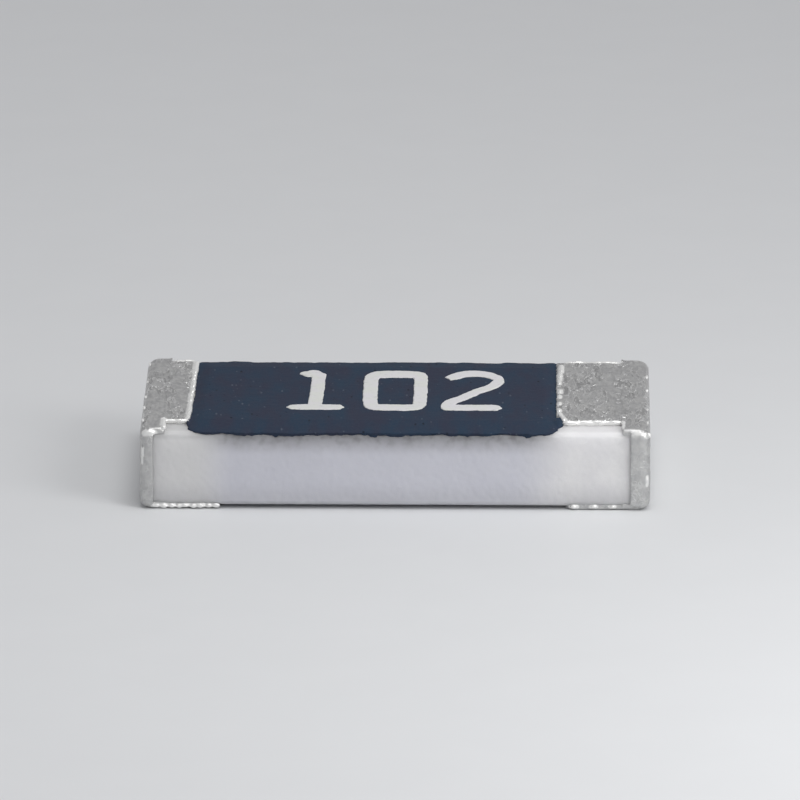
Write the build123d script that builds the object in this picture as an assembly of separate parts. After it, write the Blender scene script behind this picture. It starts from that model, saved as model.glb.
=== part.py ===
"""A thick-film chip resistor of the 3.2 by 1.6 millimetre case, built layer by layer.

Frame: X runs along the chip from its left end to its right end, Y from its front side to its
back, and Z up. The origin is under the middle of the chip, in the plane that it stands on.
The layers are made in the order of the factory: ceramic, silver prints, resistor film, glass,
laser trim, overcoat, end caps, nickel and tin. Each layer is cut by the ones that it covers.
"""

import os
from math import sqrt

from build123d import *

# Ceramic chip, snapped out of a scribed alumina sheet
ceramic_length = 3.164
ceramic_width = 1.574
ceramic_thickness = 0.475
scribe_bevel = 0.02  # half of the V groove along which the sheet was snapped

# Silver prints that carry the current to the resistor film, and the bottom solder lands
silver_thickness = 0.008
electrode_gap = 1.70  # between the inner ends of the two top electrodes
electrode_width = 1.17
bottom_margin = 0.025  # bare ceramic in front of and behind a bottom electrode
bottom_reach_left = 0.46  # how far a bottom electrode runs in from the ceramic's end
bottom_reach_right = 0.50
print_shift = -0.135  # all top prints lie this far to the left of the ceramic's middle
print_back = 0.02  # and the electrodes, film and glass this far behind it
print_corner = 0.04  # plan radius of a printed corner

# Resistor film and the glass over it
film_thickness = 0.007
film_width = 1.00
film_overlap = 0.12  # how far the film climbs over each top electrode
glass_cover = 0.006  # glass above the highest film
glass_margin = 0.05  # how far the glass runs past the film all round

# Laser trim, an L cut through glass and film that sets the resistance
trim_kerf = 0.05
trim_start = -0.30  # the plunge cut, from the middle of the film
trim_plunge = 0.42  # how deep it goes into the film from the front edge
trim_run = 0.46  # how far it then turns along the film
trim_bite = 0.006  # how deep the beam marks the ceramic

# Overcoat, the black coat with a thin rim and a flat top over the glass. It was printed across
# the scribed grooves, ran down into them, and was parted there when the chips were snapped
overcoat_cover = 0.008  # above the glass
overcoat_lap = 0.14  # how far it runs past the glass on to each electrode
overcoat_parting = 0.004  # how far its parted faces lie inside the ceramic's sides
overcoat_run = 0.016  # how far it ran down the groove's bevel
overcoat_rim = 0.004  # thickness at its edge, where the wet print ran thin
overcoat_end_slope = 0.09  # plan width of the slope up from the rim at its two ends
overcoat_side_slope = 0.20  # and along its parted sides, where no glass lies under it
overcoat_corner = 0.04  # plan radius of its corners

# End caps of conductive paste, and the plating on all bare metal
cap_thickness = 0.005
cap_wrap_left = 0.12  # how far a cap reaches from the ceramic's end over its top and bottom
cap_wrap_right = 0.14
cap_side_wrap_left = 0.05  # and round on to its front and back
cap_side_wrap_right = 0.09
tongue_corner_left = 0.02  # plan radius where the wrap over the top turns back at the sides
tongue_corner_right = 0.05
cap_corner = 0.045  # outer radius of a cap's edges
nickel_thickness = 0.006
tin_thickness = 0.008

# Heights and places that follow from the sizes above
plating = nickel_thickness + tin_thickness
ceramic_bottom = silver_thickness + cap_thickness + plating
ceramic_top = ceramic_bottom + ceramic_thickness
silver_top = ceramic_top + silver_thickness
film_top = silver_top + film_thickness
glass_top = film_top + glass_cover
overcoat_top = glass_top + overcoat_cover
ceramic_end = ceramic_length / 2
print_end = ceramic_end - scribe_bevel  # the prints were parted at the groove
bottom_width = ceramic_width - 2 * bottom_margin
film_length = electrode_gap + 2 * film_overlap
glass_length = film_length + 2 * glass_margin
overcoat_length = glass_length + 2 * overcoat_lap
overcoat_width = ceramic_width - 2 * overcoat_parting
edge_depth = cap_thickness + min(scribe_bevel, bottom_margin)  # of a bottom print, in the paste
covering_corner = edge_depth + cap_thickness + sqrt(2 * edge_depth * cap_thickness)

LEFT, RIGHT = -1, 1
SIDES = {"left": LEFT, "right": RIGHT}
CAP_WRAP = {LEFT: cap_wrap_left, RIGHT: cap_wrap_right}
CAP_SIDE_WRAP = {LEFT: cap_side_wrap_left, RIGHT: cap_side_wrap_right}
TONGUE_CORNER = {LEFT: tongue_corner_left, RIGHT: tongue_corner_right}
BOTTOM_REACH = {LEFT: bottom_reach_left, RIGHT: bottom_reach_right}


def block(x_inner, x_outer, width, z_low, z_high):
    """A block across the chip's middle plane, between two stations along X and two heights."""
    corner = (min(x_inner, x_outer), -width / 2, z_low)
    size = (abs(x_outer - x_inner), width, z_high - z_low)
    return Pos(*corner) * Box(*size, align=(Align.MIN, Align.MIN, Align.MIN))


def plan_rounded(body, x_inner, radius):
    """The body with its upright edges rounded at the station where it ends on the chip."""
    upright = body.edges().filter_by(Axis.Z)
    return fillet(upright.filter_by_position(Axis.X, x_inner - radius, x_inner + radius), radius)


def side_ribbon(outline, width):
    """A print's closed side view, given as X and Z pairs, drawn out across the chip."""
    profile = make_face(Polyline([(x, print_back, z) for x, z in outline], close=True))
    return extrude(profile, amount=width / 2, both=True)


def end_ribbon(outline, length):
    """A print's closed end view, given as Y and Z pairs, drawn out along the chip."""
    profile = make_face(Polyline([(print_shift, y, z) for y, z in outline], close=True))
    return extrude(profile, amount=length / 2, both=True)


def mound(reach, slope, foot, rim, top):
    """A flat-topped outline, as pairs of a distance from its middle and a height.

    Each side slopes up from the rim at its full reach to the flat top, and down to the foot.
    """
    brow = reach - slope
    foot_reach = reach + slope * (rim - foot) / (top - rim)
    return [(-foot_reach, foot), (foot_reach, foot), (brow, top), (-brow, top)]


def rounded_print(y_middle, length, width, z_low, z_high, corner):
    """A printed patch: a rectangle with rounded corners, raised straight up."""
    patch = RectangleRounded(length, width, corner)
    return Pos(print_shift, y_middle, z_low) * extrude(patch, amount=z_high - z_low)


def shared(first, *others):
    """One solid of several that overlap."""
    whole = first
    for other in others:
        whole = whole + other
    return whole


def without(body, *covered):
    """The body, less what already lies in its place."""
    for piece in covered:
        body = body - piece
    return body


def trim_path():
    """The L of the laser cut, as the block of air that the beam leaves."""
    film_front = print_back - film_width / 2
    low = ceramic_top - trim_bite
    plunge_x = print_shift + trim_start
    plunge_end = film_front + trim_plunge
    beam_start = film_front - glass_margin - trim_kerf
    height = glass_top - low
    plunge = Pos(plunge_x, (beam_start + plunge_end) / 2, low) * extrude(
        SlotOverall(plunge_end - beam_start, trim_kerf, rotation=90), amount=height
    )
    turn_middle = plunge_x + (trim_run - trim_kerf) / 2
    turn_y = plunge_end - trim_kerf / 2
    turn = Pos(turn_middle, turn_y, low) * extrude(
        SlotOverall(trim_run, trim_kerf), amount=height
    )
    return plunge + turn


def ceramic_substrate():
    """The alumina chip, bevelled along its scribed edges and marked by the trimming beam."""
    chip = block(-ceramic_end, ceramic_end, ceramic_width, ceramic_bottom, ceramic_top)
    flat_edges = chip.faces().sort_by(Axis.Z)[0].edges() + chip.faces().sort_by(Axis.Z)[-1].edges()
    return chamfer(flat_edges, scribe_bevel) - trim_path()


def top_electrode(side):
    """A silver print from under the overcoat to the chip's end, with a sloping inner edge."""
    inner = print_shift + side * electrode_gap / 2
    outer = side * print_end
    outline = [
        (inner, ceramic_top),
        (outer, ceramic_top),
        (outer, silver_top),
        (inner + side * silver_thickness, silver_top),
    ]
    return side_ribbon(outline, electrode_width)


def bottom_electrode(side):
    """The silver print under one end, with rounded inner corners."""
    inner = side * (ceramic_end - BOTTOM_REACH[side])
    low = ceramic_bottom - silver_thickness
    pad = block(inner, side * print_end, bottom_width, low, ceramic_bottom)
    return plan_rounded(pad, inner, print_corner)


def resistor_film():
    """The resistive print: flat on the ceramic, and a step up over each electrode's end."""
    half_gap = electrode_gap / 2
    foot = half_gap  # where the film starts to climb
    brow = half_gap + silver_thickness  # where it reaches the electrode's top
    tip = half_gap + film_overlap
    lower_right = [(foot, ceramic_top), (brow, silver_top), (tip, silver_top)]
    upper_right = [
        (tip - film_thickness, film_top),
        (foot, film_top),
        (foot - silver_thickness, ceramic_top + film_thickness),
    ]
    right = lower_right + upper_right
    left = [(-x, z) for x, z in reversed(right)]
    outline = [(x + print_shift, z) for x, z in right + left]
    return side_ribbon(outline, film_width) - trim_path()


def glass_coat(*covered):
    """The glass print over the film, levelled on top, and cut by the trim as the film is."""
    width = film_width + 2 * glass_margin
    patch = rounded_print(print_back, glass_length, width, ceramic_top, glass_top, print_corner)
    return without(patch, *covered, trim_path())


def overcoat(*covered):
    """The black coat: a thin rim, slopes all round and a flat top, and it fills the trim.

    Its side view and its end view are two mounds, which are crossed and cut to its plan.
    """
    foot = ceramic_top - overcoat_run
    end_rim = silver_top + overcoat_rim
    side_rim = ceramic_top + overcoat_rim
    plan = rounded_print(0, overcoat_length, overcoat_width, foot, overcoat_top, overcoat_corner)
    along = mound(overcoat_length / 2, overcoat_end_slope, foot, end_rim, overcoat_top)
    across = mound(overcoat_width / 2, overcoat_side_slope, foot, side_rim, overcoat_top)
    side_view = side_ribbon([(x + print_shift, z) for x, z in along], 2 * ceramic_width)
    end_view = end_ribbon(across, 2 * ceramic_length)
    return without(shared(plan & side_view & end_view, trim_path()), *covered)


def cap_envelope(side, growth):
    """One end cap's outer skin, filled in, once metal has grown on the paste all round.

    The dip reaches further over the wide faces than round the narrow ones: a cup over the end,
    and a tongue that runs on from it over the top and the bottom. Its corners are never rounder
    than lets the paste cover the outer edges of the bottom prints.
    """
    skin = cap_thickness + growth
    over_print = silver_thickness + skin  # the paste levels out over the silver's edge
    low, high = ceramic_bottom - over_print, ceramic_top + over_print
    radius = min(cap_corner, covering_corner) + growth
    face = side * (ceramic_end + skin)
    rounded_end = block(0, face, ceramic_width + 2 * skin, low, high)
    middle_edges = rounded_end.faces().sort_by(Axis.X)[0 if side == RIGHT else -1].edges()
    rounded_end = fillet([e for e in rounded_end.edges() if e not in middle_edges], radius)
    cup_rim = side * (ceramic_end - CAP_SIDE_WRAP[side] - growth)
    cup = block(cup_rim, face, ceramic_width + 2 * skin, low, high)
    tongue_rim = side * (ceramic_end - CAP_WRAP[side] - growth)
    tongue = block(tongue_rim, face, ceramic_width - 2 * (plating - growth), low, high)
    tongue = plan_rounded(tongue, tongue_rim, TONGUE_CORNER[side] + growth)
    return rounded_end & (cup + tongue)


def top_land_envelope(side, growth):
    """A top electrode's bare end with metal grown on it, creeping over the overcoat's rim."""
    coat_edge = print_shift + side * overcoat_length / 2
    inner = coat_edge - side * growth
    outer = side * print_end
    width = electrode_width + 2 * growth
    land = Pos(0, print_back, 0) * block(inner, outer, width, ceramic_top, silver_top + growth)
    top_edges = land.faces().sort_by(Axis.Z)[-1].edges()
    outer_edge = land.faces().sort_by(Axis.X)[-1 if side == RIGHT else 0].edges()
    return fillet([edge for edge in top_edges if edge not in outer_edge], growth)


def bottom_land_envelope(side, growth):
    """A bottom electrode with metal grown on it, rounded at its inner corners."""
    inner = side * (ceramic_end - BOTTOM_REACH[side] - growth)
    width = bottom_width + 2 * growth
    low = ceramic_bottom - silver_thickness - growth
    land = block(inner, side * print_end, width, low, ceramic_bottom)
    return plan_rounded(land, inner, print_corner + growth)


def plated_envelope(side, growth):
    """All of one end's bare metal, grown by a plating thickness on every side."""
    return shared(
        cap_envelope(side, growth),
        top_land_envelope(side, growth),
        bottom_land_envelope(side, growth),
    )


def build():
    """Every piece of the resistor by its name."""
    pieces = {"ceramic_substrate": ceramic_substrate()}
    for name, side in SIDES.items():
        pieces["top_electrode_" + name] = top_electrode(side)
        pieces["bottom_electrode_" + name] = bottom_electrode(side)
    top_prints = [pieces["top_electrode_left"], pieces["top_electrode_right"]]
    pieces["resistor_film"] = resistor_film()
    pieces["glass_coat"] = glass_coat(pieces["resistor_film"], *top_prints)
    pieces["overcoat"] = overcoat(
        pieces["ceramic_substrate"], pieces["glass_coat"], pieces["resistor_film"], *top_prints
    )
    for name, side in SIDES.items():
        inside = [
            pieces["ceramic_substrate"],
            pieces["top_electrode_" + name],
            pieces["bottom_electrode_" + name],
            pieces["overcoat"],
        ]
        cap = without(cap_envelope(side, 0), *inside)
        inside.append(cap)
        nickel = without(plated_envelope(side, nickel_thickness), *inside)
        tin = without(plated_envelope(side, plating), *inside, nickel)
        pieces["end_cap_" + name] = cap
        pieces["nickel_barrier_" + name] = nickel
        pieces["tin_plating_" + name] = tin
    return pieces


os.makedirs("parts", exist_ok=True)
for node, piece in build().items():
    export_step(piece, os.path.join("parts", node + ".step"))
    print(node, "solids", len(piece.solids()), "volume", round(piece.volume, 6))
print("length", ceramic_length + 2 * (cap_thickness + plating))
print("width", ceramic_width + 2 * (cap_thickness + plating))
print("height", overcoat_top)
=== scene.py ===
# %% [markdown]
# # A chip resistor, finished in Blender
#
# The resistor is 3.2 mm long. The CAD model holds its layers at their real size: an alumina
# chip, silver prints, a resistor film under glass, a dark overcoat, and end caps plated with
# nickel and tin. This notebook gives the layers that can be seen their real unevenness, which
# are the ceramic, the overcoat, the printed value and the tin on both ends. Then it paints
# every layer, lights the part and sets a camera on it.

import math
import random

import bmesh
import bpy
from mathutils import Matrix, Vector
from mathutils.kdtree import KDTree


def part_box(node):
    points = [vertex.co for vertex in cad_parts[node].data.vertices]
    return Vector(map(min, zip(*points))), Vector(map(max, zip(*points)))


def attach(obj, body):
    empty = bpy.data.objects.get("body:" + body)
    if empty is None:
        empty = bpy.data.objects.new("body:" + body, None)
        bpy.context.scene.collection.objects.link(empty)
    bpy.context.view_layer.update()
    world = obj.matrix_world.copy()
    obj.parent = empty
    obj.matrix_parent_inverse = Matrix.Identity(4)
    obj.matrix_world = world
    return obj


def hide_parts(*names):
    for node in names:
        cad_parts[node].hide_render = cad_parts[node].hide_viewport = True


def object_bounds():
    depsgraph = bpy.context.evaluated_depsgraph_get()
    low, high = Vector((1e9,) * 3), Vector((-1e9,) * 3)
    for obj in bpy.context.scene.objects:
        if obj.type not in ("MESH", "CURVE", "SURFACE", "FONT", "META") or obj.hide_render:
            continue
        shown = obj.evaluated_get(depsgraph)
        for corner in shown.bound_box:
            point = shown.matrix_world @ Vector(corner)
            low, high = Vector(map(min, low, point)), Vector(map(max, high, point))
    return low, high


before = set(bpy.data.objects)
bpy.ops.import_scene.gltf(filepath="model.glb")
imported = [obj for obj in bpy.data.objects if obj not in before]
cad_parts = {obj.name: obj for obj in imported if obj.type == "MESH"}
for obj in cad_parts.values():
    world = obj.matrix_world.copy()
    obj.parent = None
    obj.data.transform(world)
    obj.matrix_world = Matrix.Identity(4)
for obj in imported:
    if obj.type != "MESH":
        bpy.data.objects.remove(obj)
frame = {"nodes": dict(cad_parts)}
cad_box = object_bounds()
print("CAD box in mm:", [[round(c * 1000, 3) for c in corner] for corner in cad_box])

# %% [markdown]
# ## Working at a thousand times the size
#
# Many of Blender's tools stop at a tenth of a millimetre, and this whole object is 3 mm long.
# So every piece is modelled with one unit for one millimetre, and is made a thousand times
# smaller when it is finished. Its sizes come from the boxes of the CAD nodes, so a piece
# always fits the layer that it stands for.

# %% The CAD layers in millimetres
MM = 0.001


def box_mm(node):
    """The lowest and the highest corner of a CAD node, in millimetres."""
    low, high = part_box(node)
    return low / MM, high / MM


ceramic_low, ceramic_high = box_mm("ceramic_substrate")
coat_low, coat_high = box_mm("overcoat")
scribe_bevel = 0.02  # half of the groove along which the sheet was snapped
SIDES = {"left": -1, "right": 1}
print("ceramic", [round(side, 3) for side in ceramic_high - ceramic_low], "mm")
print("overcoat", [round(side, 3) for side in coat_high - coat_low], "mm")

# %% [markdown]
# ## Hands for edit mode
#
# An operator acts on all that is selected. So each step first clears the selection and then
# picks faces, edges or vertices by their place, as a hand would with the mouse. Modifiers are
# added with their settings and applied at once, so that the next step sees the real mesh.

# %% Picking and shaping helpers


def put_down():
    """Leaves edit mode and deselects everything."""
    if bpy.context.object and bpy.context.object.mode != "OBJECT":
        bpy.ops.object.mode_set(mode="OBJECT")
    bpy.ops.object.select_all(action="DESELECT")


def only(*pieces):
    """Selects these objects alone, with the first one active."""
    put_down()
    for piece in pieces:
        piece.select_set(True)
    bpy.context.view_layer.objects.active = pieces[0]


def pick(piece, kind, wanted):
    """Opens a piece in edit mode and selects the vertices, edges or faces that pass a test."""
    if piece.mode != "EDIT":
        only(piece)
        bpy.ops.object.mode_set(mode="EDIT")
    bpy.ops.mesh.select_mode(type=kind)
    bpy.ops.mesh.select_all(action="DESELECT")
    shape = bmesh.from_edit_mesh(piece.data)
    parts = {"VERT": shape.verts, "EDGE": shape.edges, "FACE": shape.faces}[kind]
    for part in [part for part in parts if wanted(part)]:
        part.select_set(True)
    shape.select_flush_mode()
    bmesh.update_edit_mesh(piece.data)


def along(axis):
    """A test that passes the edges parallel to an axis, which is 0 for X, 1 for Y, 2 for Z."""

    def passes(edge):
        way = edge.verts[1].co - edge.verts[0].co
        return abs(way[axis]) > 0.999 * way.length

    return passes


def middle(edge):
    """The point halfway along an edge."""
    return (edge.verts[0].co + edge.verts[1].co) / 2


def block(name, low, high):
    """A box between two corners, with its place in its mesh."""
    low, high = Vector(low), Vector(high)
    put_down()
    bpy.ops.mesh.primitive_cube_add(size=1, location=(low + high) / 2, scale=high - low)
    piece = bpy.context.object
    piece.name = piece.data.name = name
    bpy.ops.object.transform_apply(location=True, rotation=True, scale=True)
    return piece


def use(piece, kind, **settings):
    """Adds one modifier with these settings and applies it."""
    only(piece)
    modifier = piece.modifiers.new(kind.title(), kind)
    for name, value in settings.items():
        setattr(modifier, name, value)
    bpy.ops.object.modifier_apply(modifier=modifier.name)


def group(piece, name, weight):
    """Names vertices by their place, with a weight up to 1, so that a modifier can act there."""
    only(piece)
    members = piece.vertex_groups.new(name=name)
    for vertex in piece.data.vertices:
        members.add([vertex.index], min(max(weight(vertex.co), 0.0), 1.0), "REPLACE")
    return name


def join(first, *others):
    """Several objects made one object, with the first one's name."""
    only(first, *others)
    bpy.ops.object.join()
    return first


def cut_away(piece, *cutters):
    """Cuts the cutters' volume out of a piece, and throws the cutters away."""
    for cutter in cutters:
        use(piece, "BOOLEAN", operation="DIFFERENCE", solver="MANIFOLD", object=cutter)
        bpy.data.objects.remove(cutter)


def finish_piece(piece, slot, *nodes):
    """Makes a piece its real size, sets it on the root body, and hides the CAD nodes it stands for.
    """
    only(piece)
    bpy.ops.object.shade_smooth()
    piece.scale = (MM, MM, MM)
    bpy.ops.object.transform_apply(location=True, rotation=True, scale=True)
    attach(piece, "root")
    if nodes:
        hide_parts(*nodes)
    sides = [round(side / MM, 3) for side in piece.dimensions]
    triangles = sum(len(face.vertices) - 2 for face in piece.data.polygons)
    print(piece.name, "measures", sides, "mm and has", triangles, "triangles")


# %% [markdown]
# ## Grain to push surfaces with
#
# Nothing on a real chip is perfectly flat. The Displace modifier moves every vertex by what a
# texture says at its place, so soft clouds give waves, and ridged clouds give the crinkles of
# plated metal. A texture's size is the size of its lumps, in millimetres. It is laid out by an
# empty object at the origin, so stretching that empty draws the lumps out.

# %% Cloud and ridge textures


def clouds(size, depth=2):
    """Soft lumps of about this size, with smaller ones on them."""
    texture = bpy.data.textures.new("clouds", "CLOUDS")
    texture.noise_scale = size
    texture.noise_depth = depth
    return texture


def ridges(size):
    """Sharp winding ridges about this far apart, with no finer ones between them."""
    texture = bpy.data.textures.new("ridges", "MUSGRAVE")
    texture.musgrave_type = "RIDGED_MULTIFRACTAL"
    texture.noise_scale = size
    texture.octaves = 1.0
    return texture


def push(piece, texture, height, direction="NORMAL", where="", stretch=(1, 1, 1)):
    """Moves a surface by up to half this height in and out, as a stretched texture says."""
    put_down()
    bpy.ops.object.empty_add()
    ruler = bpy.context.object
    ruler.scale = stretch
    bpy.context.view_layer.update()
    use(
        piece,
        "DISPLACE",
        texture=texture,
        texture_coords="OBJECT",
        texture_coords_object=ruler,
        strength=height,
        mid_level=0.5,
        direction=direction,
        vertex_group=where,
    )
    bpy.data.objects.remove(ruler)


# %% [markdown]
# ## The alumina chip
#
# The chip is white alumina, about 96 percent pure. It was fired as a large sheet with grooves
# pressed into it, and was snapped along them, so its edges are bevelled and its four narrow
# faces are broken stone: grainy, and a little wavy. A cube with a bevel gives the shape. Cuts
# along all three axes then give it enough vertices for the broken faces to be pushed by clouds.

# %% Snap a ceramic chip


def ceramic_chip(name):
    """The chip with its scribed bevels, before any roughness."""
    chip = block(name, ceramic_low, ceramic_high)
    pick(chip, "EDGE", lambda edge: not along(2)(edge))
    bpy.ops.mesh.bevel(offset=scribe_bevel, segments=1)
    return chip


def snapped(place):
    """True on the four narrow faces, which are broken and not moulded."""
    low = ceramic_low.z + scribe_bevel / 2
    return low < place.z < ceramic_high.z - scribe_bevel / 2


chip = ceramic_chip("alumina_chip")
for axis, cuts in enumerate((16, 7, 5)):
    for repeat in range(2):
        pick(chip, "EDGE", along(axis))
        bpy.ops.mesh.subdivide(number_cuts=cuts)
pick(chip, "EDGE", lambda edge: not any(along(axis)(edge) for axis in range(3)))
bpy.ops.mesh.subdivide(number_cuts=3)
broken = group(chip, "broken", snapped)
push(chip, clouds(0.25), 0.010, where=broken)
push(chip, clouds(0.03, depth=3), 0.006, where=broken)
push(chip, clouds(0.06), 0.002)
print("snapped chip with", len(chip.data.polygons), "faces")

# %% [markdown]
# ## The overcoat
#
# The dark coat is a glass-filled resin, printed wet over the whole sheet of chips, across the
# grooves, and then cured. It is a flat mound: thin at its edge and thick over the glass. Snapping
# tore it along the front and the back, so those two edges are ragged, and its left end lies a
# little askew. Where it ran off the step of a silver print it spread into a low pool. A slab
# whose top is drawn up and in gives the mound, and a voxel remesh makes one even skin of slab and
# pools that smoothing and clouds can work on.

# %% Print the overcoat
coat_rim = 0.005  # the coat's thickness at its edge
coat_end_slope = 0.09  # plan width of the slope from the rim up to the flat top, at its ends
coat_side_slope = 0.20  # and along its torn front and back
coat_foot = 0.075  # how far the slab reaches below its rim, to be cut to the chip
coat_lean = 0.93  # the torn faces draw in towards that foot, so that the edge runs out thin
coat_overrun = 0.021  # how far the front's torn edge stands out further than the back's
coat_askew = {"left": 0.012, "right": 0.0}  # how far its ends run off square, for each mm of Y
coat_corners = {-1: 0.09, 1: 0.04}  # radius of its corners at the front, and at the back
pool_size = {"left": (0.010, 0.10), "right": (0.036, 0.11)}  # reach of a pool along X and Y
pool_height = 0.026
torn_reach, torn_fade = 0.13, 0.10  # how far in from a torn edge the coat is uneven, and fades
end_reach = 0.05  # how far in from its other two edges
chip_end_zone = 0.1  # corners this near the chip's ends belong to the ends


def coat_edge(name, y):
    """The X of the coat's left or right edge, at one place along Y."""
    return (coat_low.x if name == "left" else coat_high.x) + coat_askew[name] * y


def run_askew(piece, name):
    """Moves a slab's corners along X where it ends at the coat's edge, to follow that edge."""
    side = SIDES[name]
    beyond = ceramic_high.x - chip_end_zone
    for way in (-1, 1):
        shift = coat_askew[name] * way * piece.dimensions.y / 2
        pick(piece, "VERT", lambda vertex: 0 < vertex.co.x * side < beyond and vertex.co.y * way > 0)
        bpy.ops.transform.translate(value=(shift, 0, 0))


def coat_slab(name):
    """The coat as printed: nearly square in plan, with gentle slopes up to a flat top."""
    rim = ceramic_high.z + coat_rim
    low = (coat_low.x, coat_low.y - coat_overrun, rim - coat_foot)
    slab = block(name, low, (coat_high.x, coat_high.y, rim))
    for end in SIDES:
        run_askew(slab, end)
    for way, radius in coat_corners.items():
        pick(slab, "EDGE", lambda edge: along(2)(edge) and middle(edge).y * way > coat_high.y / 2)
        bpy.ops.mesh.bevel(offset=radius, segments=5)
    pick(slab, "FACE", lambda face: face.normal.z < -0.9)
    bpy.ops.transform.resize(value=(1, coat_lean, 1))
    length, width, height = coat_high - coat_low
    pick(slab, "FACE", lambda face: face.normal.z > 0.9)
    rise = (0, 0, coat_high.z - rim)
    bpy.ops.mesh.extrude_region_move(TRANSFORM_OT_translate={"value": rise})
    shrink = (1 - 2 * coat_end_slope / length, 1 - 2 * coat_side_slope / width, 1)
    bpy.ops.transform.resize(value=shrink)
    return slab


def spilt_pool(name):
    """A low pool where the wet print ran off the step of a silver print and spread."""
    put_down()
    front = box_mm("top_electrode_" + name)[0].y
    place = (coat_edge(name, front), front, ceramic_high.z)
    bpy.ops.mesh.primitive_uv_sphere_add(segments=24, ring_count=12, radius=1, location=place)
    pool = bpy.context.object
    pool.scale = (*pool_size[name], pool_height)
    bpy.ops.object.transform_apply(location=True, rotation=True, scale=True)
    return pool


coat = coat_slab("dark_overcoat")
join(coat, *[spilt_pool(name) for name in SIDES])
use(coat, "REMESH", mode="VOXEL", voxel_size=0.009)
use(coat, "SMOOTH", factor=0.5, iterations=4)
calm_x = (coat_low.x + end_reach, coat_high.x - end_reach)
torn = group(coat, "torn", lambda place: (abs(place.y) - coat_high.y + torn_reach) / torn_fade)
ends = group(coat, "ends", lambda place: not calm_x[0] < place.x < calm_x[1])
push(coat, clouds(0.11), 0.045, direction="Y", where=torn)
push(coat, clouds(0.03), 0.010, direction="Y", where=torn)
push(coat, clouds(0.12), 0.012, direction="X", where=ends)
push(coat, clouds(0.45), 0.004)
push(coat, clouds(0.035), 0.0016)
print("overcoat with", len(coat.data.polygons), "faces before it is cut")

# %% [markdown]
# ## Laying one layer on another
#
# The coat lies on the ceramic, the glass and the silver prints, and its underside has their
# shape. Boolean modifiers cut those shapes out of it. The Manifold solver does this in a moment,
# even on dense meshes, as long as each mesh is closed.

# %% Cut the coat's underside


def copy_of(piece, name):
    """A second object with its own mesh."""
    twin = piece.copy()
    twin.data = piece.data.copy()
    twin.name = twin.data.name = name
    bpy.context.collection.objects.link(twin)
    return twin


def print_block(node):
    """A CAD print's box as a closed block."""
    return block("cutter", *box_mm(node))


cut_away(
    coat,
    copy_of(chip, "cutter"),
    print_block("glass_coat"),
    print_block("top_electrode_left"),
    print_block("top_electrode_right"),
)
print("overcoat with", len(coat.data.polygons), "faces after it is cut")

# %% [markdown]
# ## The plated ends
#
# Each end was dipped in conductive paste, then plated in a barrel with nickel and with tin. The
# dip reaches further over the top and the bottom than round the sides, and the plating also
# covers the bare silver prints on both faces. So an end is a cup with two thin tongues, a land
# on top and a pad below, and each of these starts as a block. The same blocks serve twice: grown
# by the nickel they are what lies under the tin, and grown by nickel and tin they are its skin.

# %% The sizes of the metal
side_wrap = {"left": 0.05, "right": 0.09}  # how far the paste came round on to the sides
spill_cut = {"left": 0.02, "right": 0.055}  # how far a spill of coat kept metal off along X
spill_run = 0.15  # and along Y
cap_corner = 0.045  # outer radius of the dipped paste
land_spread = 1.06  # the metal over a print's front and back edges slopes down to the chip
land_run_back = 0.115  # how far the metal of a top land runs on behind its print
land_root = 0.02  # how deep a land reaches into the chip, which cuts it off
tongue_root = 0.015  # and a tongue
tongue_corner = 0.01  # radius of a tongue's long edges, under the metal
pad_corner = 0.04  # radius of a pad's inner corners, under the metal
pad_inset = 0.05  # a pad ends this far inside its print, so that the cup keeps its round foot
nickel_skin = box_mm("nickel_barrier_right")[1].x - box_mm("end_cap_right")[1].x
plating_skin = box_mm("tin_plating_right")[1].x - box_mm("end_cap_right")[1].x
print("plating", round(plating_skin, 4), "mm, of which nickel", round(nickel_skin, 4), "mm")

# %% Slabs with round edges


def reach(side, low, high):
    """How far from the chip's middle a box's inner and outer ends are, on one side."""
    return (low.x, high.x) if side > 0 else (-high.x, -low.x)


def slab_on(side, inner, outer, y_low, y_high, z_low, z_high):
    """A block on one end of the chip, between two distances from its middle."""
    ends = sorted((side * inner, side * outer))
    return block("slab", (ends[0], y_low, z_low), (ends[1], y_high, z_high))


def round_edges(piece, radius, wanted):
    """Rounds the edges that pass a test."""
    pick(piece, "EDGE", wanted)
    bpy.ops.mesh.bevel(offset=radius, segments=4)


# %% The land on a top print


def spill_corner(name):
    """Where the spill of coat begins on a land's inner edge, and where it ends on its front."""
    side = SIDES[name]
    front = box_mm("top_electrode_" + name)[0].y - plating_skin
    turn = front + spill_run
    inner = coat_edge(name, turn) - side * plating_skin
    return Vector((inner, turn)), Vector((inner + side * spill_cut[name], front))


def top_land(name, growth):
    """The metal on one top print, with sloping front and back, cut away over the spill."""
    side = SIDES[name]
    top_low, top_high = box_mm("top_electrode_" + name)
    inner = side * coat_edge(name, 0) - growth
    top = top_high.z + growth
    front, back = top_low.y - growth, top_high.y + land_run_back + growth
    outer = reach(side, *box_mm("end_cap_" + name))[1] - cap_corner
    land = slab_on(side, inner, outer, front, back, ceramic_high.z - land_root, top)
    run_askew(land, name)
    pick(land, "FACE", lambda face: face.normal.z < -0.9)
    bpy.ops.transform.resize(value=(1, land_spread, 1))
    start, stop = spill_corner(name)
    across = Vector((start.y - stop.y, stop.x - start.x)) * side
    shift = across.normalized() * (plating_skin - growth)
    pick(land, "FACE", lambda face: True)
    bpy.ops.mesh.bisect(
        plane_co=(start.x + shift.x, start.y + shift.y, top),
        plane_no=(across.x, across.y, 0),
        clear_inner=True,
        use_fill=True,
    )
    round_edges(land, growth, lambda edge: middle(edge).z > top - 0.001)
    return land


# %% All blocks of one end


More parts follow.
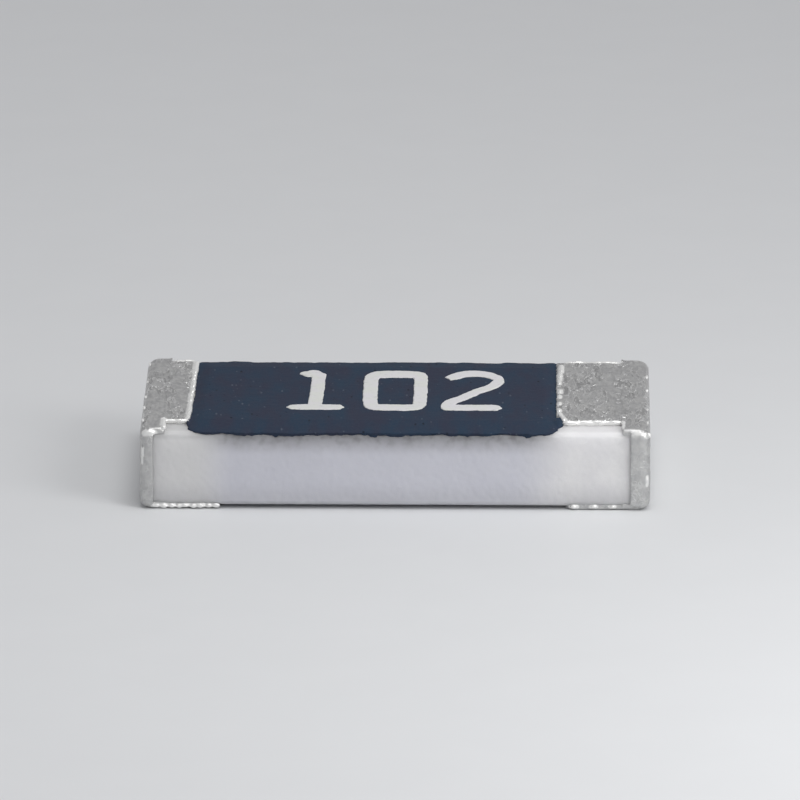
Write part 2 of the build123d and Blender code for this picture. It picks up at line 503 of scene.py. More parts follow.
def end_blocks(name, growth):
    """The cup, its two tongues, the land and the pad, grown by so much metal all round."""
    side = SIDES[name]
    paste_low, paste_high = box_mm("end_cap_" + name)
    pad_low, pad_high = box_mm("bottom_electrode_" + name)
    end = ceramic_high.x
    tongue_rim, face = reach(side, paste_low, paste_high)
    rim = end - side_wrap[name] - growth
    low, high = paste_low.z - growth, paste_high.z + growth
    half = paste_high.y + growth
    cup = slab_on(side, rim, face + growth, -half, half, low, high)
    round_edges(cup, cap_corner + growth, lambda edge: abs(middle(edge).x) > rim + 0.001)

    def long_and_outer(edge):
        """True for a tongue's edges along X that lie in the cup's top or bottom."""
        from_middle = abs(middle(edge).z - (low + high) / 2)
        return along(0)(edge) and from_middle > (high - low) / 2 - 0.001

    tongue_half = ceramic_high.y - plating_skin + growth
    inner, turn = tongue_rim - growth, face - cap_corner
    tongues = []
    heights = (low, ceramic_low.z + tongue_root), (ceramic_high.z - tongue_root, high)
    for z_low, z_high in heights:
        tongue = slab_on(side, inner, turn, -tongue_half, tongue_half, z_low, z_high)
        round_edges(tongue, growth + tongue_corner, long_and_outer)
        tongues.append(tongue)

    def inner_corner(edge):
        """True for a pad's upright edges that face the other end of the chip."""
        return along(2)(edge) and abs(middle(edge).x) < end - chip_end_zone

    pad_inner, pad_outer = reach(side, pad_low, pad_high)
    front, back = pad_low.y - growth, pad_high.y + growth
    sole, top = pad_low.z - growth, pad_high.z + land_root
    pad = slab_on(side, pad_inner - growth, pad_outer - pad_inset, front, back, sole, top)
    round_edges(pad, pad_corner + growth, inner_corner)
    return [cup, *tongues, top_land(name, growth), pad]


# %% [markdown]
# ## Beads on the metal's edges
#
# Plated metal grows in nodules where current is strong, which is at edges, so the edges are
# strings of tiny beads. One ball is modelled, and the others are copies of it, each a little
# different. A string is given by its two ends, the spacing of its beads, their radius, and how
# they are stretched along X, Y and Z. A fixed seed makes the same beads each time.

# %% A string of beads
chance = random.Random(3216)
bead_sizes = (0.75, 1.1)  # the smallest and the largest bead, as shares of the stated radius
bead_gaps = (0.7, 1.3)  # and the narrowest and the widest gap, as shares of the spacing
bead_wander = 0.2  # how far a bead is off its line, as a share of the radius
core_length = 0.85  # how much of a long bead's length its core points cover
# Bright beads leave cores here, and the finish paints them nearly white: a painted highlight.
bead_cores = []  # points inside the beads, each with its bead's radius, for the metal's finish


def beads(start, end, spacing, radius, stretch=(1, 1, 1), bright=True):
    """Copies of one small ball along a line, with uneven gaps and sizes."""
    start, end = Vector(start), Vector(end)
    put_down()
    bpy.ops.mesh.primitive_ico_sphere_add(subdivisions=2, radius=1)
    first = bpy.context.object
    made = []
    travel = spacing / 2
    while travel < (end - start).length:
        bead = copy_of(first, "bead")
        size = radius * chance.uniform(*bead_sizes)
        bead.scale = [size * axis for axis in stretch]
        wander = Vector([chance.uniform(-1, 1) for axis in range(3)]) * radius * bead_wander
        way = (end - start).normalized()
        bead.location = start + way * travel + wander
        made.append(bead)
        travel += spacing * chance.uniform(*bead_gaps)
        # A bright bead gets cores, so the finish paints it nearly white: a painted highlight.
        if bright:
            steps = 2 * math.ceil(max(stretch))
            for step in range(-steps, steps + 1):
                core = bead.location + way * (core_length * step / steps) * size * max(stretch)
                bead_cores.append((core, size))
    bpy.data.objects.remove(first)
    only(*made)
    bpy.ops.object.transform_apply(location=True, rotation=True, scale=True)
    return made


# %% Beads beside the coat


def ridge_beads(name):
    """The beads beside the coat: a close chain on the left, and single dots on the right."""
    start, stop = spill_corner(name)
    back = box_mm("top_electrode_" + name)[1].y + land_run_back - 0.03
    z = box_mm("top_electrode_" + name)[1].z + plating_skin
    if name == "left":
        front = Vector((coat_edge(name, start.y), start.y, z))
        turns = [Vector((coat_edge(name, y), y, z)) for y in (start.y + 0.15, back - 0.2, back)]
        made = beads(front, turns[0], 0.045, 0.018, (1, 2.2, 1))
        made += beads(turns[0], turns[1], 0.07, 0.0165, (1, 2, 1))
        made += beads(turns[1], turns[2], 0.05, 0.0175, (1, 2.2, 1))
    else:
        front = (coat_edge(name, start.y) + 0.005, start.y, z)
        turn = (front[0] + 0.004, 0.25, z)
        made = beads(front, turn, 0.15, 0.0155, (1, 2.2, 1))
        made += beads(turn, (turn[0] + 0.012, back, z), 0.06, 0.014, (1, 2.4, 1))
    return made + beads(front, (stop.x, stop.y, z - 0.003), 0.03, 0.0165, (1, 2, 1))


# %% Beads on all other edges


def metal_corner(name):
    """The X of the tongue's rim and of the end face, and the Z of the top, all for beads."""
    side = SIDES[name]
    paste_low, paste_high = box_mm("end_cap_" + name)
    tongue, face = reach(side, paste_low, paste_high)
    tongue = side * (tongue - plating_skin + 0.004)
    face = side * (face + plating_skin - 0.012)
    return tongue, face, paste_high.z + plating_skin


def side_beads(name, way):
    """The beads along a land, a tongue and a cup's upright corner, at the front or the back."""
    side = SIDES[name]
    tongue, face, top = metal_corner(name)
    silver_low, silver_high = box_mm("top_electrode_" + name)
    if way < 0:
        y, wall, radius = silver_low.y - 0.030, silver_high.z + 0.004, 0.0185
        lip = 0.016 if name == "left" else 0.011
    else:
        y, wall, radius = silver_high.y + land_run_back + 0.012, silver_high.z + 0.007, 0.0175
        lip = 0.008
    start = spill_corner(name)[1].x + side * 0.018
    made = beads((start, y, wall), (tongue - side * 0.035, y, wall), 0.045, radius, (3.2, 1, 1))
    rim, edge = top - 0.004, way * (ceramic_high.y - 0.012)
    # Only the beads at the front are bright, which paints them nearly white: a painted highlight.
    made += beads((tongue, y, rim), (tongue, edge, rim), 0.03, lip, (1, 2, 1), bright=way < 0)
    corner = (face - side * 0.007, way * (box_mm("end_cap_" + name)[1].y + plating_skin - 0.019))
    upper, lower = (0.41, 0.26) if name == "left" else (0.23, 0.18)
    post = (*corner, upper), (*corner, lower)
    return made + beads(*post, 0.07, 0.0095, (1, 1, 3), bright=way < 0)


def brow_beads(name):
    """A few small beads over the end face, and one large nodule at its front corner."""
    tongue, face, top = metal_corner(name)
    brow = top - 0.012
    made = beads((face, -0.74, brow), (face, 0.72, brow), 0.33, 0.0085, (1, 3, 1))
    width = 2.2 if name == "left" else 1.0
    front = 0.020 - box_mm("end_cap_" + name)[1].y - plating_skin
    nub = Vector((face - SIDES[name] * 0.016 * width, front, brow - 0.022))
    return made + beads(nub, nub + Vector((0.02, 0, 0)), 0.03, 0.017, (width, 1, 1.2))


def pad_beads(name):
    """The beads along the front and the back of the pad below."""
    side = SIDES[name]
    pad_low, pad_high = box_mm("bottom_electrode_" + name)
    sole = pad_low.z - plating_skin + 0.0145
    pad_inner, pad_outer = reach(side, pad_low, pad_high)
    pad_inner, pad_outer = side * (pad_inner - 0.022), side * (pad_outer - 0.06)
    spacing, radius = (0.045, 0.015) if name == "left" else (0.13, 0.0135)
    made = []
    for y in (pad_low.y - 0.021, pad_high.y + 0.021):
        made += beads((pad_inner, y, sole), (pad_outer, y, sole), spacing, radius, (1.7, 1, 1))
    return made


def edge_beads(name):
    """The beads of one end, along every line where its metal stops or turns."""
    made = ridge_beads(name)
    for way in (-1, 1):
        made += side_beads(name, way)
    return made + brow_beads(name) + pad_beads(name)


# %% [markdown]
# ## Melting blocks and beads into one skin
#
# The tin is built as the real one lies: one closed outer skin. A voxel remesh melts the blocks
# and the beads together, waves and crinkles are pushed into it, and all that lies under it is
# cut away. Beads and rims stay free of crinkles, and each vertex is marked with how near a bead
# it is, which the metal's finish reads to paint a highlight on the beads.

# %% Plate both ends
crinkled_half = 0.75  # how far from the middle line the flat metal is crinkled


def bead_finder():
    """A function that says how near a bead some place is: 1 on a bead, 0 well away from it."""
    cores = KDTree(len(bead_cores))
    for index, (core, radius) in enumerate(bead_cores):
        cores.insert(core, index)
    cores.balance()

    def nearness(place):
        core, index, distance = cores.find(place)
        return min(max(3 - 2 * distance / bead_cores[index][1], 0), 1)

    return nearness


def on_flat_top(place):
    """True on top of the metal, away from its front and back rims."""
    return place.z > ceramic_high.z + 0.01 and abs(place.y) < crinkled_half


def tin_end(name):
    """The tin of one end: blocks and beads melted into one skin, less what lies under it."""
    tin = join(*end_blocks(name, plating_skin), *edge_beads(name))
    tin.name = tin.data.name = "tin_end_" + name
    use(tin, "REMESH", mode="VOXEL", voxel_size=0.006)
    use(tin, "SMOOTH", factor=0.5, iterations=1)
    near_bead = bead_finder()
    flat = group(tin, "flat", lambda place: on_flat_top(place) * (1 - near_bead(place)))
    push(tin, clouds(0.15), 0.005)
    push(tin, clouds(0.05), 0.003)
    push(tin, ridges(0.03), 0.009, where=flat, stretch=(1, 2.5, 1))
    under = [copy_of(coat, "cutter"), copy_of(chip, "cutter")] + end_blocks(name, nickel_skin)
    cut_away(tin, *under)
    marks = tin.data.attributes.new("bead", "FLOAT", "POINT")
    for vertex, mark in zip(tin.data.vertices, marks.data):
        mark.value = near_bead(vertex.co)
    return tin


tins = {name: tin_end(name) for name in SIDES}
print("tin ends with", [len(tin.data.polygons) for tin in tins.values()], "faces")

# %% [markdown]
# ## The value code
#
# A three-digit code gives the resistance: 102 is 10 followed by two zeros, which is 1000 ohms.
# It is printed in pale ink through a mask, so its ends are tapered or round and its edges are a
# little nibbled. A round pen is drawn along curves, with a width at each point. The strokes are
# melted together while they are thick, roughened, and only then pressed flat. The pen works in
# a space that is squeezed along Y, so that the finished digits have heavier level strokes.

# %% A pen for digits
pen = 0.045  # half the width of an upright stroke
stretch_y = 1.35  # how much the finished print is stretched along Y
ink_rise = 0.006  # how high the print stands above the coat


def stroke(points, closed=False):
    """A round stroke through points of X, Y and pen width, where 1 is the full width."""
    curve = bpy.data.curves.new("stroke", "CURVE")
    curve.dimensions = "3D"
    curve.bevel_depth = pen
    curve.bevel_resolution = 5
    curve.use_fill_caps = True
    line = curve.splines.new("BEZIER")
    line.use_cyclic_u = closed
    line.bezier_points.add(len(points) - 1)
    for knot, (x, y, width) in zip(line.bezier_points, points):
        knot.co = (x, y / stretch_y, 0)
        knot.radius = width
        knot.handle_left_type = knot.handle_right_type = "AUTO"
    drawn = bpy.data.objects.new("stroke", curve)
    bpy.context.collection.objects.link(drawn)
    only(drawn)
    bpy.ops.object.convert(target="MESH")
    return bpy.context.object


def digit_one():
    """A flag that turns down into the stem, and a level serif with pointed ends."""
    flag = [
        (-0.622, 0.432, 0.25), (-0.598, 0.43, 0.69), (-0.569, 0.42, 1.08), (-0.535, 0.425, 1.2),
        (-0.504, 0.38, 1.0), (-0.50, 0.28, 1.0),
    ]
    stem = [(-0.498, 0.42, 1), (-0.504, 0.05, 1), (-0.512, -0.30, 1)]
    serif = [
        (-0.693, -0.327, 0.15), (-0.663, -0.327, 0.75), (-0.60, -0.326, 0.93),
        (-0.42, -0.325, 0.93), (-0.355, -0.327, 0.85), (-0.325, -0.33, 0.15),
    ]
    return [stroke(flag), stroke(stem), stroke(serif)]


def digit_zero():
    """A rounded rectangle, a little heavier along its top."""
    ring = [
        (-0.163, 0.31, 1.04), (-0.166, 0.2, 1.04), (-0.166, -0.12, 1.04), (-0.163, -0.23, 1.04),
        (-0.15, -0.305, 1), (-0.10, -0.325, 1.05), (0.0, -0.33, 1.05), (0.08, -0.33, 1.05),
        (0.135, -0.30, 1), (0.149, -0.21, 0.97), (0.151, -0.1, 0.97), (0.151, 0.2, 0.97),
        (0.149, 0.32, 0.97), (0.135, 0.395, 1.1), (0.08, 0.412, 1.25), (0.0, 0.413, 1.25),
        (-0.09, 0.412, 1.25), (-0.148, 0.385, 1.1),
    ]
    return [stroke(ring, closed=True)]


def digit_two():
    """An arch that runs down a long diagonal, and a level foot with a pointed end."""
    arch = [
        (0.322, 0.318, 0.7), (0.36, 0.36, 1), (0.41, 0.415, 1.05), (0.47, 0.434, 1.1),
        (0.53, 0.43, 1.05), (0.59, 0.395, 0.95), (0.6445, 0.30, 0.8), (0.62, 0.19, 0.9),
        (0.58, 0.118, 0.88), (0.515, 0.042, 0.86), (0.405, -0.126, 0.86), (0.36, -0.185, 0.9),
        (0.328, -0.245, 0.95), (0.326, -0.327, 0.95),
    ]
    foot = [
        (0.288, -0.33, 0.3), (0.305, -0.33, 0.8), (0.34, -0.328, 0.98), (0.45, -0.328, 0.98),
        (0.62, -0.328, 0.98), (0.645, -0.33, 0.85), (0.668, -0.336, 0.2),
    ]
    return [stroke(arch), stroke(foot)]


# %% Print the code on the coat


def printed_code(name):
    """All strokes melted into flat ink that lies in the coat's top."""
    ink = join(*digit_one(), *digit_zero(), *digit_two())
    ink.name = ink.data.name = name
    use(ink, "REMESH", mode="VOXEL", voxel_size=0.006)
    use(ink, "SMOOTH", factor=0.5, iterations=2)
    push(ink, clouds(0.045, depth=3), 0.012)
    push(ink, clouds(0.012), 0.005)
    crown = pen * 0.45
    pick(ink, "VERT", lambda vertex: vertex.co.z > crown)
    bpy.ops.transform.resize(value=(1, 1, 0.02), center_override=(0, 0, crown))
    only(ink)
    ink.scale = (1, stretch_y, ink_rise / crown)
    ink.location.z = coat_high.z
    bpy.ops.object.transform_apply(location=True, rotation=True, scale=True)
    cut_away(ink, copy_of(coat, "cutter"))
    return ink


code = printed_code("value_code")
print("value code with", len(code.data.polygons), "faces")

# %% [markdown]
# ## Down to real size
#
# The pieces are complete, so each is made its real size, rides on the part's one body, and
# stands for the CAD layer that it was modelled on. The layers inside stay as the CAD made them.

# %% Finish the pieces
finish_piece(chip, "alumina", "ceramic_substrate")
finish_piece(coat, "coat", "overcoat")
finish_piece(code, "marking")
for name, tin in tins.items():
    finish_piece(tin, "tin", "tin_plating_" + name)

# %% [markdown]
# ## Shader maths in plain Python
#
# A finish is a network of nodes, and sums are easier to read than wires. So a socket is wrapped
# in a small class that has the usual operators. A sum of two wrapped sockets adds a Math node.
# Every other node comes from one method, which is told the node's kind, its settings and what
# its inputs get.

# %% Sockets that can be added and multiplied


class Signal:
    """An output of a node, which takes part in sums as a number does."""

    def __init__(self, wiring, socket):
        self.wiring = wiring
        self.socket = socket

    def math(self, operation, first, second):
        """A Math node between two values."""
        return self.wiring.node("Math", {"operation": operation}, {0: first, 1: second})

    def __add__(self, other):
        return self.math("ADD", self, other)

    def __sub__(self, other):
        return self.math("SUBTRACT", self, other)

    def __rsub__(self, other):
        return self.math("SUBTRACT", other, self)

    def __mul__(self, other):
        return self.math("MULTIPLY", self, other)

    def __abs__(self):
        return self.math("ABSOLUTE", self, 0)

    __radd__ = __add__
    __rmul__ = __mul__


# %% One way to add any node


class Wiring:
    """A node tree that ends in one shader."""

    def __init__(self, tree, shader):
        self.tree = tree
        self.shader = tree.nodes[shader]

    def socket(self, sockets, key):
        """A socket by its number, or the first one in use that has this name."""
        if isinstance(key, int):
            return sockets[key]
        return next(one for one in sockets if one.name == key and one.enabled)

    def node(self, kind, settings=None, inputs=None, output=0):
        """Adds a node: first its settings, then the values or links of its inputs."""
        node = self.tree.nodes.new("ShaderNode" + kind)
        for name, value in (settings or {}).items():
            if name == "stops":
                for stop, (position, colour) in zip(node.color_ramp.elements, value):
                    stop.position, stop.color = position, colour
            else:
                setattr(node, name, value)
        for key, value in (inputs or {}).items():
            target = self.socket(node.inputs, key)
            if isinstance(value, Signal):
                self.tree.links.new(value.socket, target)
            else:
                target.default_value = value
        return Signal(self, self.socket(node.outputs, output))

    def feed(self, links):
        """Links values to the shader's own sockets."""
        for name, value in links.items():
            self.tree.links.new(value.socket, self.shader.inputs[name])


# %% A material and its patterns


class Paint(Wiring):
    """One material, with patterns that are measured in millimetres on the part."""

    def __init__(self, name, constants):
        self.material = bpy.data.materials.new(name)
        self.material.use_nodes = True
        super().__init__(self.material.node_tree, "Principled BSDF")
        for socket, value in constants.items():
            self.shader.inputs[socket].default_value = value
        inputs = {"Vector": self.node("TexCoord", output="Object"), "Scale": 1 / MM}
        self.place = self.node("VectorMath", {"operation": "SCALE"}, inputs)

    def noise(self, size, detail=3, place=None):
        """Soft noise whose lumps are about this many millimetres across, from 0 to 1."""
        inputs = {"Vector": place or self.place, "Scale": 1 / size, "Detail": detail}
        return self.node("TexNoise", None, inputs)

    def stretched(self, *by):
        """The place for patterns that are drawn out by so much along X, Y and Z."""
        shrink = tuple(1 / times for times in by)
        return self.node("VectorMath", {"operation": "MULTIPLY"}, {0: self.place, 1: shrink})

    def specks(self, spacing, radius, place=None):
        """Round dots about this far apart: 1 in a dot, and 0 beyond its radius."""
        inputs = {"Vector": place or self.place, "Scale": 1 / spacing}
        distance = self.node("TexVoronoi", None, inputs, "Distance")
        return self.remap(distance, radius / spacing, 0.4 * radius / spacing)

    def remap(self, value, low, high):
        """0 at low, 1 at high, and a smooth ramp between them, whichever is larger."""
        settings = {"interpolation_type": "SMOOTHSTEP"}
        inputs = {"Value": value, "From Min": low, "From Max": high}
        return self.node("MapRange", settings, inputs)

    def mix(self, mask, first, second):
        """The first colour where the mask is 0, and the second where it is 1."""
        inputs = {"Factor": mask, "A": first, "B": second}
        return self.node("Mix", {"data_type": "RGBA"}, inputs, "Result")

    def axis(self, name):
        """How far along X, Y or Z a place is, in millimetres."""
        return self.node("SeparateXYZ", None, {"Vector": self.place}, name)

    def bump(self, height, distance):
        """A normal bent by a height from 0 to 1, which stands for this distance in metres."""
        return self.node("Bump", None, {"Height": height, "Distance": distance}, "Normal")

    def cover(self, *pieces):
        """Gives this finish to pieces."""
        for piece in pieces:
            piece.data.materials.clear()
            piece.data.materials.append(self.material)


# %% Colours and depths
MICRON = 1e-6


def rgb(red, green, blue):
    """An opaque colour."""
    return (red, green, blue, 1.0)


# %% [markdown]
# ## Fired alumina
#
# Alumina is white, hard and slightly see-through: light enters it, spreads for a tenth of a
# millimetre and comes out again, so the chip looks soft and is darker beside the black coat.
# Subsurface scattering does that. Two sizes of noise give it grains and cloudy patches. Just
# below the torn coat, the top of the broken faces is painted dark: coat residue together with a
# painted shadow. Between the ends the stone is painted a darker cool grey, a painted shade with
# a painted bluish reflection. The left end, more so at its top edge, and the foot near what it
# lies on are painted darker as painted shade. Each of these is a mask that fades along X or Z,
# times a strength, and mixes one more colour in.

# %% Paint the ceramic


def alumina_paint():
    """Grained white stone, coat residue, and painted shade and reflection near coat, left and foot.
    """
    constants = {
        "Subsurface Weight": 0.8,
        "Subsurface Radius": (1.0, 1.0, 1.0),
        "Subsurface Scale": 0.2 * MM,
        "Specular IOR Level": 0.4,
    }
    paint = Paint("fired_alumina", constants)
    grain = paint.noise(0.010)
    patches = paint.noise(0.3, detail=2)
    tone = paint.remap(grain * 0.25 + patches * 0.75, 0.36, 0.64)
    stone = paint.mix(tone, rgb(0.75, 0.745, 0.755), rgb(0.80, 0.795, 0.795))
    height, along_x = paint.axis("Z"), paint.axis("X")
    near_coat = paint.remap(height, ceramic_high.z - 0.16, ceramic_high.z + 0.01)
    past_left = paint.remap(along_x, coat_low.x, coat_low.x + 0.3)
    before_right = paint.remap(along_x, coat_high.x + 0.1, coat_high.x - 0.3)
    under_coat = past_left * before_right
    # Painted shade and a painted bluish reflection: the stone between the ends is darker and cooler.
    stone = paint.mix(under_coat * 0.85, stone, rgb(0.60, 0.605, 0.665))
    # Coat residue and a painted shadow: the stone just below the torn coat's edge is painted dark.
    coat_residue_and_shade = near_coat * under_coat * (0.7 + 0.3 * paint.remap(paint.noise(0.06), 0.4, 0.7))
    stone = paint.mix(coat_residue_and_shade * 0.9, stone, rgb(0.15, 0.145, 0.14))
    # Painted shade: the left end is darker, and darker still at its top edge.
    left_end_shade = paint.remap(along_x, coat_low.x + 0.25, coat_low.x)
    stone = paint.mix(left_end_shade * 0.6, stone, rgb(0.64, 0.64, 0.64))
    left_brow_shade = left_end_shade * paint.remap(height, ceramic_high.z - 0.06, ceramic_high.z - 0.02)
    stone = paint.mix(left_brow_shade * 0.6, stone, rgb(0.48, 0.48, 0.48))
    # Painted shade: the foot is painted darker towards the floor.
    foot_shade = paint.remap(height, ceramic_low.z + 0.18, ceramic_low.z)
    stone = paint.mix(foot_shade * 0.35, stone, rgb(0.40, 0.40, 0.42))
    rough = 0.55 + 0.2 * grain
    bump = paint.bump(grain + 0.4 * paint.noise(0.03), 1.0 * MICRON)
    paint.feed({"Base Color": stone, "Roughness": rough, "Normal": bump})
    return paint


alumina_paint().cover(chip)
print("alumina painted")

# %% [markdown]
# ## The dark coat
#
# The coat is nearly black with a blue cast, and matt, because its filler stands out of the
# resin as tiny grains. Some grains have fallen out and left pits, which are painted darker as
# painted shade, and a few show pale. Specks come from a Voronoi texture, whose distance is
# smallest at scattered points. The patterns are three times as long along Y, so that they look
# round to the low camera.

# %% Paint the overcoat


def coat_paint():
    """Matt blue-black resin with cloudy patches, pits with painted shade, and pale grains."""
    paint = Paint("dark_resin_coat", {"Specular IOR Level": 0.1})
    drawn_out = paint.stretched(1, 3, 1)
    cloud = paint.remap(paint.noise(0.12, detail=4, place=drawn_out), 0.3, 0.7)
    fine = paint.noise(0.012, place=drawn_out)
    body = paint.mix(cloud, rgb(0.032, 0.037, 0.062), rgb(0.023, 0.043, 0.074))
    body = paint.mix(paint.remap(fine, 0.35, 0.75) * 0.4, body, rgb(0.042, 0.054, 0.080))
    rare = paint.remap(paint.noise(0.07), 0.52, 0.62)
    pits = paint.specks(0.05, 0.010, drawn_out) * rare
    grains = paint.specks(0.043, 0.009, drawn_out) * paint.remap(paint.noise(0.09), 0.5, 0.6)
    # Painted shade: the pits are painted darker, besides being bumped down.
    body = paint.mix(pits * 0.7, body, rgb(0.012, 0.014, 0.020))
    body = paint.mix(grains * 0.25, body, rgb(0.20, 0.22, 0.26))
    rough = 0.66 + 0.16 * fine
    relief = fine + 0.8 * paint.noise(0.05) - 1.6 * pits + 0.8 * grains
    paint.feed({"Base Color": body, "Roughness": rough, "Normal": paint.bump(relief, 1.5 * MICRON)})
    return paint


coat_paint().cover(coat)
print("overcoat painted")

# %% [markdown]
# ## Plated tin
#
# Matt tin is a crust of small crystals. It is grey and satin where it lies flat, with short
# winding crinkles. Where soft noise passes through its middle value it draws such winding lines,
# which are bumped up and painted nearly white as painted highlights. Where it passes a higher
# value it draws furrows beside them, bumped down and painted dark as painted shade. A larger
# noise keeps both in patches, and they fade on the sides and the rims. The beads are smooth, and
# painted nearly white and less metallic as a painted highlight. Their mark, which is an attribute
# of the mesh, tells the finish where they are.

# %% Paint the tin


def tin_paint():
    """Grey plated metal, with painted highlights on crinkles and beads, and painted shade in
    furrows.
    """
    paint = Paint("plated_tin", {"Specular IOR Level": 0.5})
    drawn_out = paint.stretched(1, 3.3, 1)
    wander = paint.noise(0.045, detail=2, place=drawn_out)
    line = paint.remap(abs(wander - 0.5), 0.055, 0.01)
    shaded_furrow = paint.remap(abs(wander - 0.62), 0.06, 0.01)
    patches = paint.remap(paint.noise(0.13, detail=2, place=drawn_out), 0.40, 0.56)
    level = paint.remap(paint.axis("Z"), ceramic_high.z - 0.02, ceramic_high.z + 0.01)
    calm_rim = paint.remap(abs(paint.axis("Y")), 0.77, 0.71)
    patches = patches * (0.2 + 0.8 * level * calm_rim)
    crinkle_and_glint = line * patches
    fine = paint.noise(0.008)
    wave = paint.noise(0.05, detail=2)
    bead = paint.node("Attribute", {"attribute_name": "bead"}, output="Fac")
    grey = paint.mix(paint.remap(wave, 0.3, 0.7), rgb(0.54, 0.54, 0.54), rgb(0.64, 0.64, 0.63))
    # Painted shade: the furrows beside the crinkles are painted dark.
    grey = paint.mix(shaded_furrow * patches * 0.6, grey, rgb(0.34, 0.34, 0.34))
    # Painted highlight: the crinkle lines are painted nearly white.
    grey = paint.mix(crinkle_and_glint * 0.9, grey, rgb(0.90, 0.90, 0.89))
    # Painted highlight: the beads are painted nearly white, and made less metallic below.
    grey = paint.mix(bead * 0.9, grey, rgb(0.93, 0.93, 0.91))
    rough = 0.50 - 0.2 * crinkle_and_glint - 0.14 * bead + 0.08 * fine
    relief = (crinkle_and_glint - 0.4 * shaded_furrow * patches + 0.3 * wave + 0.15 * fine) * (1 - bead)
    paint.feed({"Base Color": grey, "Roughness": rough, "Metallic": 1 - 0.55 * bead})
    paint.feed({"Normal": paint.bump(relief, 7 * MICRON)})
    return paint


tin_paint().cover(*tins.values())
print("tin painted")

# %% [markdown]
# ## The pale ink
#
# The ink is a thick off-white print. It is a little thinner and greyer in places, where the
# dark coat shows through.

# %% Paint the value code


def ink_paint():
    """Off-white ink, thin in places."""
    paint = Paint("pale_ink", {"Specular IOR Level": 0.3})
    thin = paint.remap(paint.noise(0.03, detail=4), 0.55, 0.8)
    tint = paint.remap(paint.noise(0.10), 0.35, 0.65)
    ink = paint.mix(tint, rgb(0.69, 0.70, 0.67), rgb(0.70, 0.69, 0.71))
    ink = paint.mix(thin * 0.35, ink, rgb(0.35, 0.36, 0.37))
    grain = paint.noise(0.007)
    paint.feed({"Base Color": ink, "Roughness": 0.5 + 0.2 * grain})
    paint.feed({"Normal": paint.bump(grain, 1.2 * MICRON)})
    return paint


ink_paint().cover(code)
print("ink painted")

# %% [markdown]
# ## The layers inside
#
# The inner layers are hidden, but whoever opens the part finds each with its own finish: fired
# silver, the black resistor film, green glass, the grey cap paste and satin nickel. They share
# one recipe, which is two tones, a grain, and a roughness.

# %% Paint the inner layers


def layer_paint(name, dark, light, roughness, metallic, grain_size):
    """A two-tone finish with grain of one size."""
    paint = Paint(name, {"Metallic": metallic})
    grain = paint.noise(grain_size)
    tone = paint.remap(grain, 0.3, 0.7)
    rough = roughness - 0.05 + 0.1 * grain
    bump = paint.bump(grain, 1.0 * MICRON)
    paint.feed({"Base Color": paint.mix(tone, dark, light), "Roughness": rough, "Normal": bump})
    return paint


nodes = frame["nodes"]
silver = layer_paint("fired_silver", rgb(0.58, 0.57, 0.53), rgb(0.74, 0.73, 0.69), 0.45, 0.9, 0.02)
for end in SIDES:
    silver.cover(nodes["top_electrode_" + end], nodes["bottom_electrode_" + end])
film = layer_paint("resistor_film", rgb(0.02, 0.02, 0.022), rgb(0.06, 0.06, 0.065), 0.6, 0.0, 0.015)
film.cover(nodes["resistor_film"])
glass = layer_paint("green_glass", rgb(0.10, 0.20, 0.15), rgb(0.16, 0.28, 0.21), 0.2, 0.0, 0.2)
glass.cover(nodes["glass_coat"])
paste = layer_paint("cap_paste", rgb(0.42, 0.42, 0.41), rgb(0.60, 0.60, 0.58), 0.6, 0.8, 0.012)
nickel = layer_paint("satin_nickel", rgb(0.56, 0.53, 0.48), rgb(0.68, 0.65, 0.59), 0.35, 1.0, 0.01)
for end in SIDES:
    paste.cover(nodes["end_cap_" + end])
    nickel.cover(nodes["nickel_barrier_" + end])
print("inner layers painted")

# %% [markdown]
# ## Floor, light and camera
#
# The part lies on a plain pale floor. The light is one large soft lamp overhead, a little to
# the right and to the front, and a weaker one low on the right. The world is pale at the horizon
# and darker above, so that flat metal looks grey and its rounded edges shine. The camera has a
# very long lens, as a macro picture of so small a part needs, and looks down at 17 degrees.

# %% Lay the floor


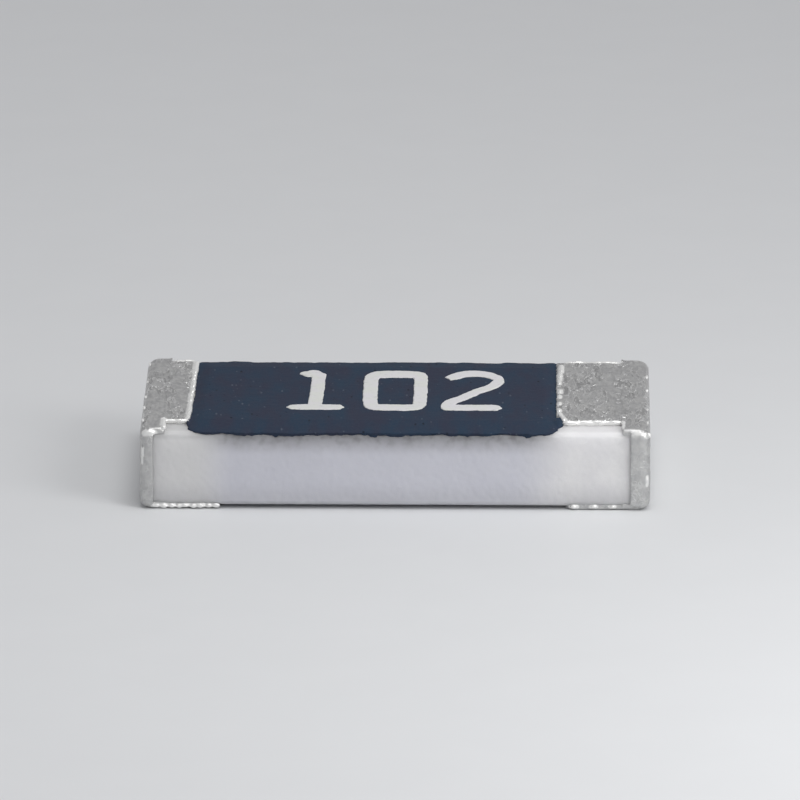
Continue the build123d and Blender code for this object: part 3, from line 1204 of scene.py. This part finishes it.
def studio_floor():
    """A wide plain sheet under the part."""
    bpy.ops.mesh.primitive_plane_add(size=2.0)
    floor = bpy.context.object
    floor.name = floor.data.name = "floor"
    paint = Paint("pale_floor", {"Roughness": 0.5, "Specular IOR Level": 0.2})
    paper = paint.noise(0.5)
    paint.feed({"Base Color": paint.mix(paper, rgb(0.70, 0.71, 0.72), rgb(0.72, 0.73, 0.74))})
    paint.cover(floor)


put_down()
studio_floor()

# %% Light the studio
middle_of_part = (cad_box[0] + cad_box[1]) / 2


def studio_world():
    """Pale grey at the horizon and darker overhead."""
    world = bpy.data.worlds.new("studio")
    bpy.context.scene.world = world
    world.use_nodes = True
    sky = Wiring(world.node_tree, "Background")
    place = sky.node("TexCoord", output="Generated")
    height = sky.node("SeparateXYZ", None, {"Vector": place}, "Z")
    stops = [(0.35, rgb(0.50, 0.50, 0.51)), (0.75, rgb(0.28, 0.28, 0.29))]
    sky.feed({"Color": sky.node("ValToRGB", {"stops": stops}, {"Fac": height})})


def soft_lamp(place, size, watts):
    """A square lamp that looks at the part, from a place in millimetres."""
    bpy.ops.object.light_add(type="AREA", location=Vector(place) * MM)
    lamp = bpy.context.object
    lamp.data.size = size * MM
    lamp.data.energy = watts
    aim = middle_of_part - lamp.location
    lamp.rotation_euler = aim.to_track_quat("-Z", "Y").to_euler()


studio_world()
soft_lamp((4, -6, 40), 22, 0.0070)
soft_lamp((8, -7, 7), 6, 0.00056)
print("studio lit by", len(bpy.data.lights), "lamps and a grey world")

# %% Set the camera
elevation = math.radians(16.6)
azimuth = math.radians(0.86)
distance = 70 * MM
aim_up, aim_right = 0.211 * MM, 0.0212 * MM  # the part lies a little low in the picture
back = Vector(
    (
        math.sin(azimuth) * math.cos(elevation),
        -math.cos(azimuth) * math.cos(elevation),
        math.sin(elevation),
    )
)
right = Vector((math.cos(azimuth), math.sin(azimuth), 0))
up = back.cross(right)
bpy.ops.object.camera_add(location=middle_of_part + back * distance)
camera = bpy.context.object
camera.data.lens = 497
camera.data.clip_start = 0.001
aim = middle_of_part + up * aim_up + right * aim_right
camera.rotation_euler = (aim - camera.location).to_track_quat("-Z", "Y").to_euler()
bpy.context.scene.camera = camera
bpy.context.scene.view_settings.view_transform = "Standard"
print("camera at", [round(c / MM, 2) for c in camera.location], "mm")
